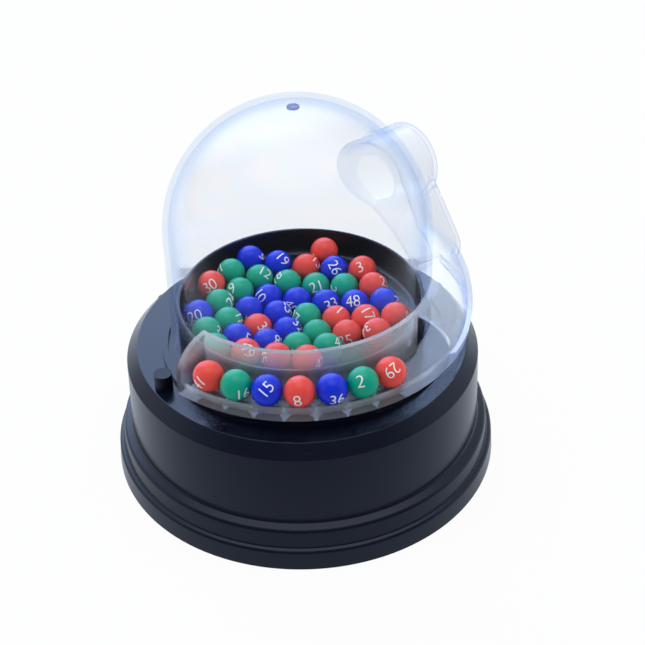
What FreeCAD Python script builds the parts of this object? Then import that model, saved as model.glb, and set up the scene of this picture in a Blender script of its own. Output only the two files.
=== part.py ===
import FreeCAD, Part
import math
import os
import Sketcher
from FreeCAD import Placement, Rotation, Vector

# Tabletop number-ball draw machine, in millimetres.
# The origin is the centre of the foot, +Z is up and the front, with the tray, looks along -Y.
# Azimuths run from the front, positive towards the right-hand side.

SIZES = {
    # base
    "foot_radius": 58.0,
    "foot_draft": 0.4,
    "foot_band_top": 6.0,
    "foot_ledge": 1.4,
    "step_low": 6.7,
    "step_draft": 0.6,
    "step_high": 12.1,
    "step_ledge": 2.6,
    "wall_low": 13.5,
    "wall_draft": 0.6,
    "wall_high": 35.6,
    "deck_chamfer": 3.3,
    "deck_top": 39.2,
    "deck_thickness": 2.4,
    "base_wall": 2.1,
    "shelf_width": 4.2,
    "shelf_thickness": 2.4,
    "rib_height": 1.2,
    "rib_width": 1.6,
    "rib_side_gap": 5.76,
    "rib_side_x": 3.4,
    "rib_side_y": -1.0,
    "rib_side_start": 172.0,
    "rib_side_span": 65.0,
    "rib_join": -29.0,
    "rib_front_gap": 4.86,
    "post_inset": 7.5,
    "post_radius": 3.2,
    # bowl
    "rim_play": 0.44,
    "rim_top": 53.9,
    "rim_wall": 1.1,
    "spigot_step": 2.5,
    "dish_low": 41.0,
    "dish_rise": 0.1944,
    "bowl_wall": 2.0,
    "recess_radius": 11.2,
    "recess_floor": 36.6,
    "bowl_screw_inset": 2.3,
    # clear top
    "dome_radius": 38.24,
    "dome_wall": 1.6,
    "dome_centre": 76.4,
    "exit_azimuth": 139.0,
    "exit_height": 76.0,
    "exit_radius": 7.5,
    "clear_wall": 1.4,
    "glue_line": 0.04,
    "tray_floor": 48.5,
    "tray_width": 11.26,
    "tray_lip_top": 50.6,
    "tray_back_top": 62.3,
    "tray_left": -44.0,
    "mouth_azimuth": 54.0,
    "cover_end": 117.6,
    "cover_offset": 0.36,
    "cover_section": 11.6,
    "cover_tilt": 9.0,
    "cover_lean": 2.8,
    "lobe_azimuth": 127.0,
    "lobe_out": 14.76,
    "lobe_across": 9.15,
    "lobe_radius": 12.0,
    "lobe_rounding": 3.0,
    "slope_out": 11.76,
    "slope_head": 10.8,
    "heel_across": 10.5,
    "heel_height": 57.4,
    "heel_radius": 6.4,
    # balls
    "ball_radius": 4.3,
    "ball_pitch": 8.8,
    "ball_turn": -12.0,
    "drawn_out": 5.76,
    "drawn_first": -35.8,
    "drawn_step": 11.4,
    # stirrer and motor
    "agitator_radius": 10.7,
    "agitator_low": 37.0,
    "agitator_high": 40.0,
    "agitator_rib_top": 41.2,
    "shaft_radius": 1.0,
    "shaft_top": 39.2,
    "motor_wide": 20.1,
    "motor_flat": 15.1,
    "motor_long": 25.0,
    "motor_cap": 5.0,
    "cradle_wall": 1.5,
    "cradle_play": 0.2,
    "cradle_screw_at": 17.0,
    # underside
    "cover_play": 0.4,
    "cover_low": 1.6,
    "cover_thickness": 2.0,
    "cell_radius": 7.25,
    "cell_long": 50.5,
    "cell_first": 18.8,
    "cell_spacing": 14.9,
    "bay_half": 28.5,
    "bay_wall": 1.2,
    "bay_corner": 1.0,
    "plate_thick": 0.4,
    "door_low": 1.8,
    "door_thickness": 1.5,
    "hinge_across": 30.5,
    "hinge_height": 2.6,
    # button and switch
    "button_azimuth": -60.5,
    "button_inset": 3.4,
    "button_radius": 2.6,
    "button_top": 44.0,
    "button_travel": 1.5,
    "running_fit": 0.05,
    "board_top": 28.0,
    "board_thickness": 1.5,
    "board_half": 11.0,
    "board_inward": 5.6,
    "board_outward": 2.6,
    "board_screw_inward": 1.5,
    "board_screw_aside": 8.5,
    "pin_inward": 1.8,
    "pin_aside": 2.25,
    "switch_height": 5.0,
    "lead_radius": 0.6,
}

SHEET = "Sizes"
UP = Vector(0, 0, 1)
RIGHT = Vector(1, 0, 0)
BACK = Vector(0, 1, 0)


class Dim:
    """A size with its value in mm and the sheet expression that drives it."""

    def __init__(self, value, text=None):
        self.value = float(value)
        self.text = text if text is not None else "{:.6f}".format(float(value))

    @staticmethod
    def of(other):
        return other if isinstance(other, Dim) else Dim(other)

    def _with(self, other, sign, value):
        return Dim(value, "({} {} {})".format(self.text, sign, other.text))

    def __add__(self, other):
        other = Dim.of(other)
        return self._with(other, "+", self.value + other.value)

    def __sub__(self, other):
        other = Dim.of(other)
        return self._with(other, "-", self.value - other.value)

    def __mul__(self, other):
        other = Dim.of(other)
        return self._with(other, "*", self.value * other.value)

    def __truediv__(self, other):
        other = Dim.of(other)
        return self._with(other, "/", self.value / other.value)

    def __radd__(self, other):
        return Dim.of(other) + self

    def __rsub__(self, other):
        return Dim.of(other) - self

    def __rmul__(self, other):
        return Dim.of(other) * self

    def __neg__(self):
        return Dim(0.0) - self


class Sizes:
    """The spreadsheet of driving sizes, read by name as Dim values."""

    def __init__(self, doc):
        sheet = doc.addObject("Spreadsheet::Sheet", SHEET)
        for row, (name, value) in enumerate(SIZES.items(), start=1):
            sheet.set("A{}".format(row), name)
            sheet.set("B{}".format(row), str(value))
            sheet.setAlias("B{}".format(row), name)
        doc.recompute()
        for name in SIZES:
            setattr(self, name, Dim(sheet.get(name), "{}.{}".format(SHEET, name)))


doc = FreeCAD.newDocument("draw_machine")
S = Sizes(doc)
NODES = []


def node(obj, label):
    """Names a finished sub-part, so that it is checked and written out."""
    obj.Label = label
    NODES.append(obj)
    return obj


def bind(obj, prop, size):
    """Drives a property from the sheet when its size comes from there."""
    size = Dim.of(size)
    setattr(obj, prop, size.value)
    obj.setExpression(prop, size.text)


def put(obj, x, y, z, axis=UP, angle=0.0):
    """Places an object, with its position driven from the sheet."""
    spot = [Dim.of(x), Dim.of(y), Dim.of(z)]
    obj.Placement = Placement(Vector(*[size.value for size in spot]), Rotation(axis, angle))
    for letter, size in zip("xyz", spot):
        obj.setExpression("Placement.Base." + letter, size.text)
    return obj


def around(ring, azimuth, aside=0.0):
    """Plan position at an azimuth, a distance aside from it along the tangent."""
    ring, azimuth, aside = Dim.of(ring), Dim.of(azimuth), Dim.of(aside)
    sine = Dim(math.sin(math.radians(azimuth.value)), "sin({})".format(azimuth.text))
    cosine = Dim(math.cos(math.radians(azimuth.value)), "cos({})".format(azimuth.text))
    return ring * sine + aside * cosine, aside * sine - ring * cosine


def cylinder(name, radius, low, high, x=0.0, y=0.0):
    obj = doc.addObject("Part::Cylinder", name)
    bind(obj, "Radius", radius)
    bind(obj, "Height", Dim.of(high) - low)
    return put(obj, x, y, low)


def rod(name, radius, length, x, y, z, axis, angle):
    """A cylinder that lies along another direction than Z."""
    obj = doc.addObject("Part::Cylinder", name)
    bind(obj, "Radius", radius)
    bind(obj, "Height", length)
    return put(obj, x, y, z, axis, angle)


def sector(name, inner, outer, low, high, start, span, x=0.0, y=0.0):
    """A piece of a ring, from a start angle measured from +X."""
    pieces = []
    for word, radius in (("_out", outer), ("_in", inner)):
        piece = doc.addObject("Part::Cylinder", name + word)
        bind(piece, "Radius", radius)
        bind(piece, "Height", Dim.of(high) - low)
        bind(piece, "Angle", span)
        put(piece, x, y, low, UP, Dim.of(start).value)
        pieces.append(piece)
    return cut(name, pieces[0], pieces[1])


def box(name, x0, x1, y0, y1, z0, z1, azimuth=None):
    """A block between two corners, turned about Z to an azimuth when one is given."""
    obj = doc.addObject("Part::Box", name)
    bind(obj, "Length", Dim.of(x1) - x0)
    bind(obj, "Width", Dim.of(y1) - y0)
    bind(obj, "Height", Dim.of(z1) - z0)
    if azimuth is None:
        return put(obj, x0, y0, z0)
    x, y = around(-Dim.of(y0), azimuth, x0)
    return put(obj, x, y, z0, UP, azimuth.value)


def sphere(name, radius, x, y, z):
    obj = doc.addObject("Part::Sphere", name)
    bind(obj, "Radius", radius)
    return put(obj, x, y, z)


def fuse(name, pieces):
    obj = doc.addObject("Part::MultiFuse", name)
    obj.Shapes = pieces
    obj.Refine = True
    return obj


def cut(name, whole, tool):
    obj = doc.addObject("Part::Cut", name)
    obj.Base = whole
    obj.Tool = tool
    obj.Refine = True
    return obj


def common(name, first, second):
    obj = doc.addObject("Part::Common", name)
    obj.Base = first
    obj.Tool = second
    return obj


def group(name, pieces):
    obj = doc.addObject("Part::Compound", name)
    obj.Links = pieces
    return obj


def sketch_on(body, role, name):
    """A sketch on one of the body's own origin planes."""
    sketch = body.newObject("Sketcher::SketchObject", name)
    plane = [item for item in body.Origin.OriginFeatures if item.Role == role][0]
    sketch.AttachmentSupport = [(plane, "")]
    sketch.MapMode = "FlatFace"
    return sketch


def hold(sketch, kind, curve, point, size):
    """Ties one coordinate of a sketch point to a size, measured from the sketch origin."""
    size = Dim.of(size)
    index = sketch.addConstraint(Sketcher.Constraint(kind, -1, 1, curve, point, size.value))
    sketch.setExpression("Constraints[{}]".format(index), size.text)


def closed_profile(sketch, points):
    """A closed outline of straight lines, each corner tied to the sheet."""
    corners = [(Dim.of(across), Dim.of(along)) for across, along in points]
    count = len(corners)
    for index in range(count):
        start = corners[index]
        end = corners[(index + 1) % count]
        line = Part.LineSegment(
            Vector(start[0].value, start[1].value, 0), Vector(end[0].value, end[1].value, 0)
        )
        sketch.addGeometry(line, False)
    for index in range(count):
        sketch.addConstraint(Sketcher.Constraint("Coincident", index, 2, (index + 1) % count, 1))
    for index, (across, along) in enumerate(corners):
        hold(sketch, "DistanceX", index, 1, across)
        hold(sketch, "DistanceY", index, 1, along)


def turned(name, points, start=90.0, span=360.0):
    """A body turned about Z from a profile of radius and height, over a span of azimuth."""
    body = doc.addObject("PartDesign::Body", name)
    sketch = sketch_on(body, "XZ_Plane", name + "_profile")
    closed_profile(sketch, points)
    turn = body.newObject("PartDesign::Revolution", name + "_turn")
    turn.Profile = sketch
    turn.ReferenceAxis = (sketch, ["V_Axis"])
    bind(turn, "Angle", span)
    body.Placement = Placement(Vector(0, 0, 0), Rotation(UP, Dim.of(start).value - 90.0))
    doc.recompute()
    return body


def soften(body, name, radius, circles):
    """Rounds the circular edges of a turned body, given by radius and height."""
    tip = body.Tip
    names = []
    for index, edge in enumerate(tip.Shape.Edges, start=1):
        curve = edge.Curve
        if not isinstance(curve, Part.Circle):
            continue
        for ring, height in circles:
            near_ring = abs(curve.Radius - Dim.of(ring).value) < 1e-4
            near_height = abs(curve.Center.z - Dim.of(height).value) < 1e-4
            if near_ring and near_height:
                names.append("Edge{}".format(index))
    rounding = body.newObject("PartDesign::Fillet", name)
    rounding.Base = (tip, names)
    bind(rounding, "Radius", radius)
    doc.recompute()


def screw(name, x, y, seat, head_radius, head_high, shank_radius, shank_long):
    """A cross-head screw driven upwards, with its head under the seat."""
    seat = Dim.of(seat)
    head = cylinder(name + "_head", head_radius, seat - head_high, seat, x, y)
    shank = cylinder(name + "_shank", shank_radius, seat - 0.2, seat + shank_long, x, y)
    solid = fuse(name + "_solid", [head, shank])
    long_half = head_radius * 0.65
    slots = []
    for word, half_x, half_y in (("_slot_x", long_half, 0.3), ("_slot_y", 0.3, long_half)):
        x0, y0 = Dim.of(x) - half_x, Dim.of(y) - half_y
        x1, y1 = Dim.of(x) + half_x, Dim.of(y) + half_y
        low = seat - head_high - 0.2
        slots.append(box(name + word, x0, x1, y0, y1, low, low + 0.9))
    cross = fuse(name + "_cross", slots)
    return cut(name, solid, cross)


def foot_top_radius():
    return S.foot_radius - S.foot_draft


def step_low_radius():
    return foot_top_radius() - S.foot_ledge


def step_high_radius():
    return step_low_radius() - S.step_draft


def wall_low_radius():
    return step_high_radius() - S.step_ledge


def wall_high_radius():
    return wall_low_radius() - S.wall_draft


def deck_radius():
    return wall_high_radius() - S.deck_chamfer


def button_ring():
    return deck_radius() - S.button_inset


def foot_inside():
    return S.foot_radius - S.base_wall


def cover_radius():
    return foot_inside() - S.cover_play


def bay_round():
    return wall_high_radius() - S.base_wall


def post_ring():
    return cover_radius() - S.post_inset


def rim_radius():
    return S.dome_radius - S.dome_wall - S.rim_play


def spigot_radius():
    return rim_radius() - S.spigot_step


def shelf_radius():
    return spigot_radius() - S.shelf_width


def bowl_screw_ring():
    return spigot_radius() - S.bowl_screw_inset


def tray_lip_radius():
    return S.dome_radius + S.tray_width


def drawn_ring():
    return S.dome_radius + S.drawn_out


def cover_ring():
    return S.dome_radius + S.cover_offset


def lobe_reach():
    return S.dome_radius + S.lobe_out


def slope_reach():
    return S.dome_radius + S.slope_out


def rib_side_radius():
    return S.dome_radius + S.rib_side_gap


def rib_front_radius():
    return S.dome_radius + S.rib_front_gap


def deck_under():
    return S.deck_top - S.deck_thickness


def shelf_under():
    return deck_under() - S.shelf_thickness


def cover_top():
    return S.cover_low + S.cover_thickness


def dish_at(radius):
    """Height of the bowl's conical floor at a radius."""
    return S.dish_low + (Dim.of(radius) - S.recess_radius) * S.dish_rise


def board_screw_at(side):
    ring = button_ring() - S.board_screw_inward
    return around(ring, S.button_azimuth, S.board_screw_aside * side)


def pin_at(side):
    return around(button_ring() - S.pin_inward, S.button_azimuth, S.pin_aside * side)


POST_AZIMUTHS = (0.0, 120.0, 240.0)
BOWL_SCREW_AZIMUTHS = (30.0, 150.0, 270.0)
SIDES = (-1.0, 1.0)


def build_base_shell():
    lean = S.deck_chamfer / (S.deck_top - S.wall_high)
    chamfer_in = deck_radius() + lean * S.deck_thickness - S.base_wall * 1.14
    opening = spigot_radius() + 0.3
    foot_in = foot_inside()
    step_in = step_low_radius() - S.base_wall
    profile = [
        (S.foot_radius, 0.0),
        (foot_top_radius(), S.foot_band_top),
        (step_low_radius(), S.step_low),
        (step_high_radius(), S.step_high),
        (wall_low_radius(), S.wall_low),
        (wall_high_radius(), S.wall_high),
        (deck_radius(), S.deck_top),
        (opening, S.deck_top),
        (opening, deck_under()),
        (shelf_radius(), deck_under()),
        (shelf_radius(), shelf_under()),
        (opening + 2.0, shelf_under()),
        (opening + 2.0, deck_under()),
        (chamfer_in, deck_under()),
        (wall_high_radius() - S.base_wall, S.wall_high - 0.3),
        (wall_low_radius() - S.base_wall, S.wall_low - 0.6),
        (step_in, S.step_high - 1.4),
        (step_in, S.step_low - 0.8),
        (foot_in, S.foot_band_top - 1.2),
        (foot_in, 0.0),
    ]
    shell = turned("shell_turned", profile)
    soften(shell, "foot_rounding", S.foot_ledge * 0.7, [(foot_top_radius(), S.foot_band_top)])
    soften(shell, "step_rounding", S.step_ledge * 0.5, [(step_high_radius(), S.step_high)])
    soften(shell, "groove_low", S.foot_ledge * 0.35, [(step_low_radius(), S.step_low)])
    soften(shell, "groove_high", S.step_ledge * 0.3, [(wall_low_radius(), S.wall_low)])
    soften(
        shell,
        "deck_rounding",
        0.4,
        [(wall_high_radius(), S.wall_high), (deck_radius(), S.deck_top)],
    )
    adds = [shell]
    half = S.rib_width / 2.0
    rib_top = S.deck_top + S.rib_height
    rib_low = S.deck_top - 0.3
    side = rib_side_radius()
    adds.append(
        sector(
            "rib_side",
            side - half,
            side + half,
            rib_low,
            rib_top,
            S.rib_side_start,
            S.rib_side_span,
            S.rib_side_x,
            S.rib_side_y,
        )
    )
    front = rib_front_radius()
    rib_span = S.cover_end - S.rib_join
    adds.append(
        sector("rib_front", front - half, front + half, rib_low, rib_top, S.rib_join - 90.0, rib_span)
    )
    holes = []
    for index, azimuth in enumerate(POST_AZIMUTHS):
        x, y = around(post_ring(), azimuth)
        adds.append(cylinder("post_{}".format(index), S.post_radius, cover_top(), deck_under() + 0.5, x, y))
        holes.append(cylinder("post_hole_{}".format(index), 1.22, cover_top() - 1.0, 16.0, x, y))
    for index, side in enumerate(SIDES):
        x, y = board_screw_at(side)
        adds.append(cylinder("board_boss_{}".format(index), 2.2, S.board_top, deck_under() + 0.5, x, y))
        holes.append(cylinder("board_hole_{}".format(index), 0.82, S.board_top - 1.0, 35.0, x, y))
    for index, azimuth in enumerate(BOWL_SCREW_AZIMUTHS):
        x, y = around(bowl_screw_ring(), azimuth)
        holes.append(cylinder("shelf_hole_{}".format(index), 1.2, shelf_under() - 1.0, deck_under() + 1.0, x, y))
    x, y = around(button_ring(), S.button_azimuth)
    bore = S.button_radius + S.running_fit
    holes.append(cylinder("button_hole", bore, deck_under() - 0.6, rib_top + 1.0, x, y))
    whole = fuse("shell_whole", adds)
    node(cut("base_shell", whole, fuse("shell_holes", holes)), "base_shell")


def build_bowl():
    inner = rim_radius() - S.rim_wall
    spigot_in = spigot_radius() - 1.5
    hub = S.recess_radius + S.bowl_wall
    floor_under = S.recess_floor - S.bowl_wall
    profile = [
        (1.3, S.recess_floor),
        (S.recess_radius, S.recess_floor),
        (S.recess_radius, S.dish_low),
        (inner, dish_at(inner)),
        (inner, S.rim_top),
        (rim_radius(), S.rim_top),
        (rim_radius(), S.deck_top),
        (spigot_radius(), S.deck_top),
        (spigot_radius(), deck_under() + 0.2),
        (spigot_in, deck_under() + 0.2),
        (spigot_in, dish_at(spigot_in) - S.bowl_wall),
        (hub, dish_at(hub) - S.bowl_wall),
        (hub, floor_under),
        (3.05, floor_under),
        (3.05, floor_under + 1.45),
        (1.3, floor_under + 1.45),
    ]
    bowl = turned("bowl_turned", profile)
    soften(bowl, "bowl_corner", 2.0, [(inner, dish_at(inner))])
    soften(bowl, "bowl_rim", 0.4, [(inner, S.rim_top), (rim_radius(), S.rim_top)])
    adds = [bowl]
    holes = []
    for index, azimuth in enumerate(BOWL_SCREW_AZIMUTHS):
        x, y = around(bowl_screw_ring(), azimuth)
        top = dish_at(bowl_screw_ring()) - 1.0
        adds.append(cylinder("bowl_boss_{}".format(index), 2.2, deck_under(), top, x, y))
        holes.append(cylinder("bowl_hole_{}".format(index), 1.02, deck_under() - 1.0, top - 1.4, x, y))
    for index, side in enumerate(SIDES):
        x = S.cradle_screw_at * side
        top = dish_at(S.cradle_screw_at) - 1.0
        adds.append(cylinder("cradle_boss_{}".format(index), 2.6, cradle_top(), top, x, 0.0))
        holes.append(cylinder("cradle_hole_{}".format(index), 1.02, cradle_top() - 1.0, top - 1.0, x, 0.0))
    whole = fuse("bowl_whole", adds)
    node(cut("ball_bowl", whole, fuse("bowl_holes", holes)), "ball_bowl")
    screws = []
    for index, azimuth in enumerate(BOWL_SCREW_AZIMUTHS):
        x, y = around(bowl_screw_ring(), azimuth)
        screws.append(screw("bowl_screw_{}".format(index), x, y, shelf_under(), 2.0, 1.3, 1.0, 6.4))
    node(group("bowl_screws", screws), "bowl_screws")


def motor_top():
    return S.recess_floor - S.bowl_wall


def motor_low():
    return motor_top() - S.motor_long


def cradle_top():
    return motor_top() - 2.0


def flat_sided(name, radius, flat, low, high):
    """A round can with two flats, as on small toy motors."""
    barrel = cylinder(name + "_round", radius, low, high)
    flats = box(name + "_flats", -radius - 1.0, radius + 1.0, -flat / 2.0, flat / 2.0, low, high)
    return common(name, barrel, flats)


def build_motor():
    cap_top = motor_low() + S.motor_cap
    radius = S.motor_wide / 2.0
    outside = flat_sided("can_outside", radius, S.motor_flat, cap_top, motor_top())
    inside = flat_sided("can_inside", radius - 0.8, S.motor_flat - 1.6, cap_top - 1.0, motor_top() - 0.8)
    bore = cylinder("can_bore", 2.02, motor_top() - 2.0, motor_top() + 1.0)
    node(cut("motor_can", outside, fuse("can_hollow", [inside, bore])), "motor_can")
    block = flat_sided("cap_block", radius, S.motor_flat, motor_low(), cap_top)
    bearing = cylinder("cap_bearing", S.shaft_radius + S.running_fit, motor_low() + 1.4, cap_top + 1.0)
    node(cut("motor_end_cap", block, bearing), "motor_end_cap")
    bush_bore = S.shaft_radius + S.running_fit
    bush = [
        (bush_bore, motor_top() - 0.8),
        (2.0, motor_top() - 0.8),
        (2.0, motor_top()),
        (3.0, motor_top()),
        (3.0, motor_top() + 1.4),
        (bush_bore, motor_top() + 1.4),
    ]
    node(turned("bushing_turned", bush), "motor_bushing")
    tabs = []
    for index, side in enumerate((-6.0, 6.0)):
        low = motor_low() - 4.8
        tabs.append(box("tab_{}".format(index), side - 0.2, side + 0.2, -1.2, 1.2, low, motor_low()))
    node(group("motor_tabs", tabs), "motor_terminals")
    node(cylinder("shaft", S.shaft_radius, motor_low() + 1.6, S.shaft_top), "motor_shaft")
    core = [
        (S.shaft_radius, cap_top + 0.6),
        (2.2, cap_top + 0.6),
        (2.2, cap_top + 4.4),
        (6.2, cap_top + 4.4),
        (6.2, motor_top() - 4.6),
        (2.2, motor_top() - 4.6),
        (2.2, motor_top() - 2.0),
        (S.shaft_radius, motor_top() - 2.0),
    ]
    node(turned("armature_turned", core), "motor_armature")


def build_cradle():
    half_x = S.motor_wide / 2.0 + S.cradle_play
    half_y = S.motor_flat / 2.0 + S.cradle_play
    out_x = half_x + S.cradle_wall
    out_y = half_y + S.cradle_wall
    floor = motor_low() - 1.5
    cup = box("cup", -out_x, out_x, -out_y, out_y, floor, cradle_top())
    ear_end = S.cradle_screw_at + 3.0
    ears = box("ears", -ear_end, ear_end, -3.6, 3.6, cradle_top() - 2.0, cradle_top())
    hollow = box("cup_hollow", -half_x, half_x, -half_y, half_y, motor_low(), cradle_top() + 1.0)
    window = box("cup_window", -8.0, 8.0, -4.0, 4.0, floor - 1.0, motor_low() + 1.0)
    holes = [hollow, window]
    for index, side in enumerate(SIDES):
        x = S.cradle_screw_at * side
        holes.append(cylinder("ear_hole_{}".format(index), 1.2, cradle_top() - 3.0, cradle_top() + 1.0, x))
    node(cut("motor_cradle", fuse("cradle_whole", [cup, ears]), fuse("cradle_holes", holes)), "motor_cradle")
    screws = []
    for index, side in enumerate(SIDES):
        x = S.cradle_screw_at * side
        screws.append(screw("cradle_screw_{}".format(index), x, 0.0, cradle_top() - 2.0, 2.0, 1.4, 1.0, 6.8))
    node(group("cradle_screw_pair", screws), "cradle_screws")


def build_agitator():
    disc = [
        (0.0, S.shaft_top),
        (S.shaft_radius, S.shaft_top),
        (S.shaft_radius, S.agitator_low),
        (S.agitator_radius, S.agitator_low),
        (S.agitator_radius, S.agitator_high),
        (0.0, S.agitator_high),
    ]
    pieces = [turned("agitator_disc", disc)]
    reach = S.agitator_radius - 0.6
    low = S.agitator_high - 0.4
    pieces.append(box("paddle_x", -reach, reach, -0.8, 0.8, low, S.agitator_rib_top))
    pieces.append(box("paddle_y", -0.8, 0.8, -reach, reach, low, S.agitator_rib_top))
    node(fuse("agitator", pieces), "agitator")


def build_bottom_cover():
    low_y = S.cell_first - S.cell_radius - 0.35
    high_y = S.cell_first + S.cell_spacing + S.cell_radius + 0.35
    roof = bay_roof()
    wall = S.bay_wall
    plate = cylinder("cover_plate", cover_radius(), S.cover_low, cover_top())
    half = S.bay_half
    block = box(
        "bay_block", -half - wall, half + wall, low_y - wall, high_y + wall, S.cover_low, roof + wall
    )
    room = box("bay_room", -half, half, low_y, high_y, S.cover_low - 1.0, roof)
    # Above its step the base wall comes in, so there the bay's corners follow it round.
    turn_in = S.step_high - S.bay_wall
    above = roof + wall + 1.0
    outside = sector("bay_relief", bay_round(), S.foot_radius, turn_in, above, 0.0, 360.0)
    inside = sector(
        "room_relief", bay_round() - S.bay_corner, S.foot_radius, turn_in - wall, above, 0.0, 360.0
    )
    bay = cut("bay", block, outside)
    holes = [cut("bay_hollow", room, inside)]
    for index in range(2):
        y = S.cell_first + S.cell_spacing * float(index)
        holes.append(
            box(
                "tab_slot_{}".format(index),
                -half - 0.0,
                -half + 0.7,
                y - 2.4,
                y + 2.4,
                roof - 1.0,
                roof + wall + 1.0,
            )
        )
    for index, azimuth in enumerate(POST_AZIMUTHS):
        x, y = around(post_ring(), azimuth)
        holes.append(cylinder("cover_hole_{}".format(index), 1.5, S.cover_low - 1.0, cover_top() + 1.0, x, y))
    mid = S.cell_first + S.cell_spacing / 2.0
    holes.append(
        box("hinge_notch", half - 0.1, S.hinge_across + 1.9, mid - 6.0, mid + 6.0, S.cover_low - 1.0, 4.4)
    )
    holes.append(
        rod("pin_hole", 0.47, 17.2, S.hinge_across, mid + 8.6, S.hinge_height, RIGHT, 90.0)
    )
    whole = fuse("cover_whole", [plate, bay])
    node(cut("bottom_cover", whole, fuse("cover_holes", holes)), "bottom_cover")
    screws = []
    for index, azimuth in enumerate(POST_AZIMUTHS):
        x, y = around(post_ring(), azimuth)
        screws.append(screw("cover_screw_{}".format(index), x, y, S.cover_low, 2.6, 1.3, 1.2, 10.0))
    node(group("cover_screw_set", screws), "cover_screws")
    node(rod("pin", 0.45, 17.0, S.hinge_across, mid + 8.5, S.hinge_height, RIGHT, 90.0), "hinge_pin")
    door_half = half - 0.3
    door_top = S.door_low + S.door_thickness
    panel = box("door_panel", -door_half, door_half, low_y + 0.3, high_y - 0.3, S.door_low, door_top)
    arm = box("door_arm", door_half - 1.0, S.hinge_across, mid - 5.6, mid + 5.6, S.door_low, door_top)
    barrel = rod("door_barrel", 0.95, 11.2, S.hinge_across, mid + 5.6, S.hinge_height, RIGHT, 90.0)
    bore = rod("door_bore", 0.5, 13.0, S.hinge_across, mid + 6.5, S.hinge_height, RIGHT, 90.0)
    grip = cylinder("door_grip", 4.0, S.door_low - 1.0, door_top + 1.0, -door_half - 1.6, mid)
    door = fuse("door_whole", [panel, arm, barrel])
    node(cut("battery_door", door, fuse("door_holes", [bore, grip])), "battery_door")


def cell_height():
    return S.door_low + S.door_thickness + 0.5 + S.cell_radius


def bay_roof():
    return cell_height() + S.cell_radius + 0.4


def build_cells():
    low = cell_height()
    nub = 1.0
    inner = S.bay_half - S.plate_thick
    cells = []
    springs = []
    coil_long = inner * 2.0 - S.cell_long
    for index, side in enumerate((1.0, -1.0)):
        y = S.cell_first + S.cell_spacing * float(index)
        turn = 90.0 * side
        tail = (inner - S.cell_long) * side
        jacket = rod("jacket_{}".format(index), S.cell_radius, S.cell_long - nub, tail, y, low, BACK, turn)
        tip_at = (inner - nub - 0.2) * side
        tip = rod("nub_{}".format(index), 2.75, nub + 0.2, tip_at, y, low, BACK, turn)
        cells.append(fuse("cell_{}".format(index), [jacket, tip]))
        springs.append(contact_coil("coil_{}".format(index), -inner * side, y, low, coil_long, turn))
    node(group("cell_pair", cells), "battery_cells")
    node(group("coil_pair", springs), "contact_springs")
    plates = []
    first_y = S.cell_first
    second_y = S.cell_first + S.cell_spacing
    foot = low - 6.0
    head = low + 5.0
    plates.append(
        box("bridge_plate", inner, S.bay_half, first_y - 5.0, second_y + 5.0, foot, head)
    )
    for index, y in enumerate((first_y, second_y)):
        leaf = box("leaf_{}".format(index), -S.bay_half, -inner, y - 5.0, y + 5.0, foot, head)
        stem = box("leaf_tab_{}".format(index), -S.bay_half, -inner, y - 2.0, y + 2.0, head - 0.5, tab_top())
        plates.append(fuse("leaf_plate_{}".format(index), [leaf, stem]))
    node(group("contact_plate_set", plates), "contact_plates")


def tab_top():
    return bay_roof() + S.bay_wall + 3.0


def contact_coil(name, x, y, z, length, turn):
    """A coil between a contact plate and the flat end of a cell."""
    wire = 0.35
    gap = 0.03
    frame = put(doc.addObject("Part::Helix", name + "_spine"), x, y, z, BACK, turn)
    turns = 3.5
    rise = length - 2.0 * (wire + gap)
    bind(frame, "Radius", 4.2)
    bind(frame, "Height", rise)
    bind(frame, "Pitch", rise / turns)
    lift = Placement(Vector(0, 0, wire + gap), Rotation())
    frame.setExpression("Placement.Base.x", None)
    frame.Placement = frame.Placement.multiply(lift)
    loop = doc.addObject("Part::Circle", name + "_section")
    bind(loop, "Radius", wire)
    start = Placement(Vector(4.2, 0, 0), Rotation(RIGHT, 90.0))
    loop.Placement = frame.Placement.multiply(start)
    doc.recompute()
    coil = doc.addObject("Part::Sweep", name)
    coil.Sections = [loop]
    coil.Spine = (frame, ["Edge{}".format(i + 1) for i in range(len(frame.Shape.Edges))])
    coil.Solid = True
    coil.Frenet = True
    return coil


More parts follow.
